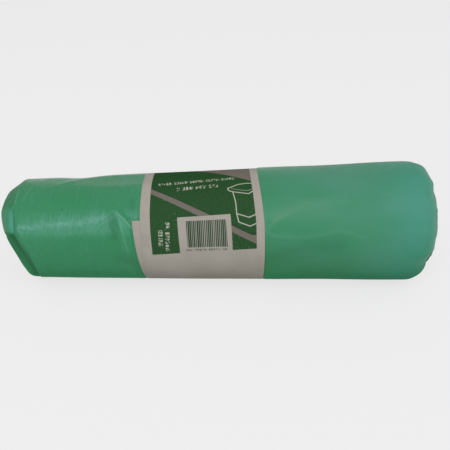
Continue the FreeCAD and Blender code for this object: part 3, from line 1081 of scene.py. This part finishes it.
def film_specks(art, where):
    spots = []
    for x, degrees, radius in SPECKS:
        phi = math.radians(degrees)
        r = float(surface_distance(x, 0.0, phi))
        place = [float(v) for v in to_row(np.array(x), np.array(r), np.array(phi))]
        spots.append(art.mask("small_spot", Where=where, Place=place, Radius=radius * MM))
    return reduce(art.either, spots)


def new_material(name):
    material = bpy.data.materials.new(name)
    material.use_nodes = True
    return material, material.node_tree, material.node_tree.nodes["Principled BSDF"]


def film_material():
    sizes = bpy.context.scene.bag_roll
    material, tree, shader = new_material("film")
    art = Drawing(tree, "Place")
    where = art.node("ShaderNodeTexCoord").outputs["Object"]
    parts = art.node("ShaderNodeSeparateXYZ", {"Vector": where}).outputs
    along, height = parts["X"], parts["Z"]

    # Colour: paler and bluer at the thick end, and more so on its upper side as a painted sheen of the
    # light from above, with soft patches.
    patches = art.ramp(art.noise(where, *PATCHES), 0.38, 0.66)
    thick_end = art.ramp(along, *THICK_END)
    thin_end = art.less(1.0, art.ramp(along, *THIN_END))
    share = art.grow(art.ramp(height, *PAINTED_SHEEN_TOP), 0.4, art.grow(patches, 0.35, 0.12))
    pale = art.maths("MULTIPLY", thick_end, share, clamp=True)
    pale = art.grow(patches, 0.16, pale, clamp=True)
    now = art.blend(pale, sizes.film_dark, sizes.film_pale)
    # Painted sheen: pale streaks across the thin end, where its wrinkled film catches the light.
    sheen_streaks = art.ramp(art.noise(where, *SHEEN_STREAKS), 0.5, 0.75)
    now = art.paint(now, art.times(sheen_streaks, thin_end), *SHEEN_STREAK_LOOK)
    now = art.paint(now, film_specks(art, where), *SPECK_LOOK)
    # Painted highlight: a pale, mottled streak where the lamp shines on the thin end.
    highlight_blotches = art.ramp(art.noise(where, *HIGHLIGHT_BLOTCHES), 0.38, 0.70)
    now = art.paint(now, art.times(art.path(HIGHLIGHT_STREAK, 2.4, 4.0), highlight_blotches), *HIGHLIGHT_STREAK_LOOK)
    # Painted light: the level facet beside the crease, paler and bluer as lit.
    now = art.paint(now, art.area(flat_points(LIT_FACET), 1.5), *LIT_FACET_LOOK)

    # Painted shade: the film beyond the crease, the left rim and the underside are painted a deeper green,
    # and made dull.
    front_strip = art.area(flat_points(FRONT_STRIP), 4.0)
    rim = art.grow(art.ramp(along, *LEFT_RIM), -0.7, 0.7)
    bevel = art.either(art.area(flat_points(BEVEL), 1.2), art.times(rim, art.less(1.0, front_strip)))
    now = art.paint(now, bevel, *BEVEL_SHADE_LOOK)
    underneath = art.less(1.0, art.ramp(height, *UNDERSIDE))
    now = art.paint(now, underneath, art.grow(thick_end, -0.25, 0.7), UNDERSIDE_SHADE_TONE)

    # Broad tints, painted shade in hollows and painted highlights on ridges.
    for points, width, soft, strength, tone in FILM_TINTS_SHADE_AND_HIGHLIGHTS:
        now = art.paint(now, art.path(flat_points(points), width, soft), strength, tone)
    # Painted highlights along ridges and folds.
    now = art.blend(film_lines(art, HIGHLIGHT_LINES), now, HIGHLIGHT_LINE_TONE)
    # Painted shade in creases and grooves.
    now = art.blend(film_lines(art, SHADE_LINES), now, SHADE_LINE_TONE)

    # Gloss: duller at the thick end, below and beyond the crease, a little uneven all over.
    rough = art.grow(thick_end, ROUGHER_THICK_END, FILM_ROUGH)
    rough = art.grow(art.either(underneath, bevel), ROUGHER_BELOW, rough)
    rough = art.grow(art.less(art.noise(where, *MOTTLE), 0.5), ROUGHER_MOTTLE, rough)
    ripples = art.times(art.noise(where, *RIPPLES), RIPPLE_SHARE)
    relief = art.grow(art.noise(where, *FINE_CREASES), art.grow(thin_end, 0.75, 0.25), ripples)
    art.feed(shader, {
        "Base Color": now,
        "Roughness": rough,
        "Specular IOR Level": 0.25,
        "Specular Tint": (0.5, 0.78, 1.0, 1.0),
        "Normal": art.bump(relief, 0.5, RELIEF_HEIGHT),
    })
    return material


# The print, in millimetres of the strip: across it from its left edge, and along it from the
# roll's top down the front.
FIELD = ((5.0, -62.0), (59.8, -62.0), (59.8, 45.2), (5.2, 46.5))
BARE_BOX = ((19.3, 26.8), (46.9, 26.2), (47.4, 49.0), (19.9, 49.0))
WEDGE = ((30.0, -62.0), (64.0, -62.0), (64.0, 8.4), (30.0, -9.3))
STRIPE_TOP = (((0.0, 6.4), (70.0, 44.55)), ((0.0, 37.7), (70.0, 37.7)))
STRIPE_BOTTOM = ((70.0, 48.2), (0.0, 9.7))
STRIPE_SHADE = ((0.0, 6.0), (56.6, 36.9), (64.0, 37.0))
BARS = ((23.7, 28.9), (44.4, 28.9), (44.8, 43.4), (24.0, 43.0))
MARGIN_PATCH = ((0.3, 34.5), (4.4, 34.7), (4.0, 41.8), (0.1, 41.6))
MARGINS = (((4.6, 100.0), (4.6, -200.0)), ((59.9, -200.0), (59.9, 100.0)))
# Painted shadow that the outer end's left edge casts on the inner end below it.
OUTER_EDGE_SHADOW = ((4.1, -158.9), (3.2, -143.4), (1.0, -122.2))
BAR_PITCH = 0.94
BAR_SEED = 4.0
WORN_BELOW = 12.0
MARGIN_BELOW = -10.0

# Rows of tiny marks: start, end, height, module, seed, share that is filled, letters in a word.
PALE_WORDS = (
    ((8.7, 6.2), (52.3, 3.1), 1.9, 0.48, 2.0, 0.62, 6),
    ((19.3, 10.3), (41.4, 8.8), 2.2, 0.6, 5.0, 0.64, 4),
    ((10.4, 33.0), (9.9, 41.5), 2.2, 0.5, 7.0, 0.64, 20),
    ((14.2, 29.0), (13.5, 44.6), 2.2, 0.56, 12.0, 0.64, 20),
)
DARK_WORDS = ((23.2, 44.4), (44.6, 44.9), 1.1, 0.4, 21.0, 0.6, 6)

# A plain outline of a wheeled bin, cut off by the strip's right margin: lid, rim, body, band.
BIN_LINES = (
    ((47.0, 12.6), (46.6, 11.2), (52.4, 8.6), (57.0, 7.9), (62.0, 8.2)),
    ((47.0, 12.6), (49.4, 13.6), (57.5, 15.2), (60.5, 13.2)),
    ((49.2, 13.7), (50.2, 20.0), (50.2, 26.4), (50.9, 30.6), (56.6, 33.0), (60.5, 31.5)),
    ((50.3, 26.2), (56.4, 28.4), (60.5, 26.8)),
)
BIN_INNER = ((48.6, 11.4), (53.2, 12.6), (57.4, 13.2), (60.5, 11.8))

# Marks on the paper: creases drawn as thin lines, painted darker or paler as shade and light on them, a
# brownish stain, a greenish patch by the right edge, and painted shade along the lower edge. Points,
# width, softness, strength and tone.
PAPER_MARKS_AND_SHADE = (
    (((16.3, 49.0), (17.7, 52.8), (19.0, 57.1)), 0.1, 0.9, 0.22, (0.16, 0.14, 0.12)),
    (((28.3, 59.5), (32.0, 54.3)), 0.1, 0.9, 0.18, (0.16, 0.14, 0.12)),
    (((8.7, 51.7), (14.5, 58.8)), 0.1, 1.6, 0.14, (0.42, 0.41, 0.38)),
    (((52.6, 51.0), (59.4, 47.4)), 0.1, 0.8, 0.18, (0.16, 0.14, 0.12)),
    (((54.8, 53.9), (57.5, 59.9)), 0.1, 1.2, 0.24, (0.14, 0.11, 0.09)),
    (((46.0, 50.0), (49.0, 56.0), (47.5, 62.0)), 0.1, 1.4, 0.14, (0.16, 0.14, 0.12)),
    (((60.8, 51.0), (61.8, 60.5)), 2.4, 3.0, 0.16, (0.16, 0.18, 0.13)),
    (((28.0, 66.0), (54.0, 66.0)), 4.0, 8.0, 0.22, (0.2, 0.13, 0.09)),
    (((1.0, 62.0), (20.0, 64.0)), 2.0, 6.0, 0.12, (0.18, 0.17, 0.14)),
)
# What is painted over the print, painted shadow included: strength and tone.
SHADE_LOOK = (0.8, (0.002, 0.014, 0.003))
WORN_INK_LOOK = (0.8, (0.14, 0.28, 0.14))
MARGIN_LOOK = (0.10, (0.22, 0.29, 0.24))
PATCH_LOOK = (0.16, (0.2, 0.22, 0.18))
OUTER_EDGE_SHADOW_LOOK = (0.35, (0.12, 0.12, 0.11))
BAR_TONE = (0.005, 0.035, 0.008)
WORDS_STRENGTH = 0.85

# A word row: cells in a letter, the share of a letter that is filled, and the share of one
# letter that is left bare between two words.
LETTER_CELLS = 3.0
LETTER_FILLED = 0.72
WORD_GAP = 0.9


def word_row(art, start, end, height, module, seed, share, letters):
    """A row of tiny random marks with gaps, where the label has small words."""
    du, dv = end[0] - start[0], end[1] - start[1]
    size = math.hypot(du, dv)
    du, dv = du / size, dv / size
    nu, nv = -dv * height / 2, du * height / 2
    row = art.area([(u + side * nu, v + side * nv) for (u, v), side in (
        (start, -1), (end, -1), (end, 1), (start, 1))], 0.2)
    across = art.grow(art.u, du, art.times(art.v, dv))
    up = art.grow(art.u, -dv, art.times(art.v, du))
    up = art.less(up, start[1] * du - start[0] * dv - height / 2)
    letter = module * LETTER_CELLS
    for size, filled in ((letter, LETTER_FILLED), (letter * letters, 1.0 - WORD_GAP / letters)):
        step = art.maths("FRACT", art.maths("DIVIDE", across, size))
        row = art.times(row, art.grow(art.less(filled, step), 6.0 * size / letter, 0.5, clamp=True))
    return art.times(row, art.mask("random_cells", Across=across, Up=up, Module=module,
                                   Rise=height / 4, Share=share, Seed=seed))


def bin_drawing(art):
    lines = reduce(art.either, [art.path(line) for line in BIN_LINES])
    return art.either(lines, art.times(art.path(BIN_INNER, 0.3), 0.6))


def paper_material():
    looks = bpy.context.scene.bag_paper
    material, tree, shader = new_material("printed_paper")
    art = Drawing(tree, "Print")
    where = art.node("ShaderNodeTexCoord").outputs["Object"]
    worn = art.grow(art.noise(where, 60.0, 5.0), 0.3, 0.85)
    grey = art.node("ShaderNodeCombineColor", {"Red": worn, "Green": worn, "Blue": worn})
    now = art.blend(1.0, looks.paper, grey.outputs["Color"], "MULTIPLY")

    inked = art.times(art.area(FIELD), art.less(1.0, art.area(BARE_BOX)))
    now = art.blend(inked, now, looks.ink)
    stripe = reduce(art.either, [art.half(*line) for line in STRIPE_TOP])
    stripe = art.times(stripe, art.half(*STRIPE_BOTTOM))
    now = art.blend(art.times(inked, art.either(stripe, art.area(WEDGE))), now, looks.stripe)
    now = art.paint(now, art.times(inked, art.path(STRIPE_SHADE, 0.6, 0.5)), *SHADE_LOOK)
    worn_ink = art.ramp(art.noise(where, 1700.0, 1.0), 0.68, 0.76)
    low_field = art.times(inked, art.half((0.0, WORN_BELOW), (STRIP_WIDTH, WORN_BELOW), 40.0))
    now = art.paint(now, art.times(low_field, worn_ink), *WORN_INK_LOOK)

    words = reduce(art.either, [word_row(art, *row) for row in PALE_WORDS])
    pale = art.either(art.times(words, WORDS_STRENGTH), bin_drawing(art))
    now = art.blend(art.times(inked, pale), now, looks.line)
    bars = art.mask("random_bars", Across=art.u, Pitch=BAR_PITCH, Seed=BAR_SEED)
    bars = art.either(art.times(art.area(BARS), bars), word_row(art, *DARK_WORDS))
    now = art.blend(bars, now, BAR_TONE)

    margin = reduce(art.either, [art.half(*line) for line in MARGINS])
    lower = art.half((0.0, MARGIN_BELOW), (STRIP_WIDTH, MARGIN_BELOW), 60.0)
    now = art.paint(now, art.times(margin, lower), *MARGIN_LOOK)
    now = art.paint(now, art.area(MARGIN_PATCH, 0.5), *PATCH_LOOK)
    # Painted shadow of the outer end's edge on the inner end.
    now = art.paint(now, art.path(OUTER_EDGE_SHADOW, 0.3, 0.7), *OUTER_EDGE_SHADOW_LOOK)
    # Crease lines with painted shade and light, a stain, and painted shade along the lower edge.
    for points, width, soft, strength, tone in PAPER_MARKS_AND_SHADE:
        now = art.paint(now, art.path(points, width, soft), strength, tone)
    art.feed(shader, {
        "Base Color": now,
        "Roughness": 0.85,
        "Specular IOR Level": 0.05,
        "Normal": art.bump(art.noise(where, 1800.0), 0.15, 0.0002),
    })
    return material


class BAGROLL_OT_film(Operator):
    """Make the wound film, with its rounded rims, folds, eye and flat underside"""
    bl_idname = "bagroll.film"
    bl_label = "Film"

    def execute(self, context):
        finish_piece(build_skin(), film_material(), "film", "bag_roll")
        return {"FINISHED"}


class BAGROLL_OT_turns(Operator):
    """Make the spiral of film edges in both end faces"""
    bl_idname = "bagroll.turns"
    bl_label = "Turns in the ends"

    def execute(self, context):
        material = bpy.data.materials["film"]
        tree = turns_tree()
        for name, side, radius in (("turns_left", -1, LEFT_STOP), ("turns_right", 1, RIGHT_STOP)):
            piece = build_turns(name, side, radius, tree, material)
            finish_piece(piece, material, "film", "bag_roll")
        return {"FINISHED"}


class BAGROLL_OT_paper(Operator):
    """Make the printed paper strip that holds the roll"""
    bl_idname = "bagroll.paper"
    bl_label = "Paper strip"

    def execute(self, context):
        finish_piece(build_strip(), paper_material(), "paper", "paper_band")
        return {"FINISHED"}


# The stage, in metres: lamps with their place, size and power, and the point they aim at.
LAMPS = (
    ("key", (-0.39, -0.92, 0.78), (0.34, 1.2), 7.2),
    ("fill", (0.85, -0.72, 0.98), (1.3, 1.2), 6.5),
)
TARGET = Vector((4.54, 0.0, 29.24)) * MM
FLOOR_SIZE = 3.0
FLOOR_GREY = 0.5
FLOOR_SEEN = 0.72
ROOM_LIGHT = 0.33
ROOM_OVERHEAD = 0.22
ROOM_BEHIND = 0.2
ROOM_SEEN = 0.78
SENSOR_WIDTH = 36.0


def seen_directly(wires):
    """1 for rays from the camera and for rays that shine or pass through to it, else 0."""
    path = wires.node("ShaderNodeLightPath").outputs
    seen = wires.either(path["Is Camera Ray"], path["Is Glossy Ray"])
    return wires.either(seen, path["Is Transmission Ray"])


def make_floor():
    """A pale floor that looks nearly white, lights the roll less and keeps its shadow."""
    material, tree, shader = new_material("floor")
    wires = Wires(tree)
    wires.feed(shader, {"Base Color": (FLOOR_GREY, FLOOR_GREY, FLOOR_GREY, 1.0), "Roughness": 0.9})
    white = wires.node("ShaderNodeEmission", {"Strength": 1.0}).outputs["Emission"]
    mixed = wires.node("ShaderNodeMixShader", {
        "Fac": wires.times(seen_directly(wires), FLOOR_SEEN), 1: shader.outputs["BSDF"], 2: white})
    wires.feed(tree.nodes["Material Output"], {"Surface": mixed.outputs["Shader"]})
    size = FLOOR_SIZE
    corners = [(-size, -size, 0.0), (size, -size, 0.0), (size, size, 0.0), (-size, size, 0.0)]
    floor = new_mesh("floor", corners, [(0, 1, 2, 3)], False)
    floor.data.materials.append(material)


def make_room(scene):
    """Soft light from all round, a little stronger from above and behind."""
    world = bpy.data.worlds.new("soft_room")
    scene.world = world
    world.use_nodes = True
    wires = Wires(world.node_tree)
    way = wires.node("ShaderNodeTexCoord").outputs["Generated"]
    towards = wires.node("ShaderNodeSeparateXYZ", {"Vector": way}).outputs
    room = wires.grow(wires.ramp(towards["Z"], 0.0, 0.8), ROOM_OVERHEAD, ROOM_LIGHT)
    room = wires.grow(wires.ramp(towards["Y"], 0.2, 0.9), ROOM_BEHIND, room)
    inputs = {"Factor": seen_directly(wires), 2: room, 3: ROOM_SEEN}
    strength = wires.node("ShaderNodeMix", inputs, data_type="FLOAT").outputs[0]
    back = world.node_tree.nodes["Background"]
    wires.feed(back, {"Color": (1.0, 1.0, 1.0, 1.0), "Strength": strength})


def place_towards(name, data, place, aim):
    """An object of the stage at a place, looking along a direction."""
    holder = bpy.data.objects.new(name, data)
    bpy.context.scene.collection.objects.link(holder)
    holder.location = place
    holder.rotation_euler = aim.to_track_quat("-Z", "Y").to_euler()
    return holder


class BAGROLL_OT_stage(Operator):
    """Make the pale floor, the soft light and the camera"""
    bl_idname = "bagroll.stage"
    bl_label = "Stage"

    def execute(self, context):
        make_floor()
        make_room(context.scene)
        for name, place, size, power in LAMPS:
            lamp = bpy.data.lights.new(name, "AREA")
            lamp.shape = "RECTANGLE"
            lamp.size, lamp.size_y = size
            lamp.energy = power
            place_towards(name, lamp, place, TARGET - Vector(place))
        stage = context.scene.bag_stage
        angle = stage.elevation
        away = Vector((0.0, -math.cos(angle), math.sin(angle))) * stage.distance
        lens = bpy.data.cameras.new("camera")
        lens.lens = stage.lens
        lens.sensor_width = SENSOR_WIDTH
        lens.clip_start = 0.01
        context.scene.camera = place_towards("camera", lens, TARGET + away, -away)
        context.scene.view_settings.view_transform = "Standard"
        return {"FINISHED"}


class BAGROLL_PT_panel(Panel):
    """Settings and steps of the bag roll"""
    bl_label = "Bag roll"
    bl_idname = "BAGROLL_PT_panel"
    bl_space_type = "VIEW_3D"
    bl_region_type = "UI"
    bl_category = "Bag roll"

    def draw(self, context):
        for group in ("bag_roll", "bag_paper", "bag_stage"):
            settings = getattr(context.scene, group)
            column = self.layout.column(align=True)
            for name in settings.__annotations__:
                column.prop(settings, name)
        for operator in (BAGROLL_OT_film, BAGROLL_OT_turns, BAGROLL_OT_paper, BAGROLL_OT_stage):
            self.layout.operator(operator.bl_idname)


CLASSES = (
    RollSettings, PaperSettings, StageSettings, BAGROLL_OT_film, BAGROLL_OT_turns,
    BAGROLL_OT_paper, BAGROLL_OT_stage, BAGROLL_PT_panel)


def register():
    for item in CLASSES:
        bpy.utils.register_class(item)
    bpy.types.Scene.bag_roll = PointerProperty(type=RollSettings)
    bpy.types.Scene.bag_paper = PointerProperty(type=PaperSettings)
    bpy.types.Scene.bag_stage = PointerProperty(type=StageSettings)


def unregister():
    del bpy.types.Scene.bag_stage
    del bpy.types.Scene.bag_paper
    del bpy.types.Scene.bag_roll
    for item in reversed(CLASSES):
        bpy.utils.unregister_class(item)


def main():
    register()
    bpy.ops.bagroll.film()
    bpy.ops.bagroll.turns()
    bpy.ops.bagroll.paper()
    bpy.ops.bagroll.stage()


if __name__ == "__main__":
    main()
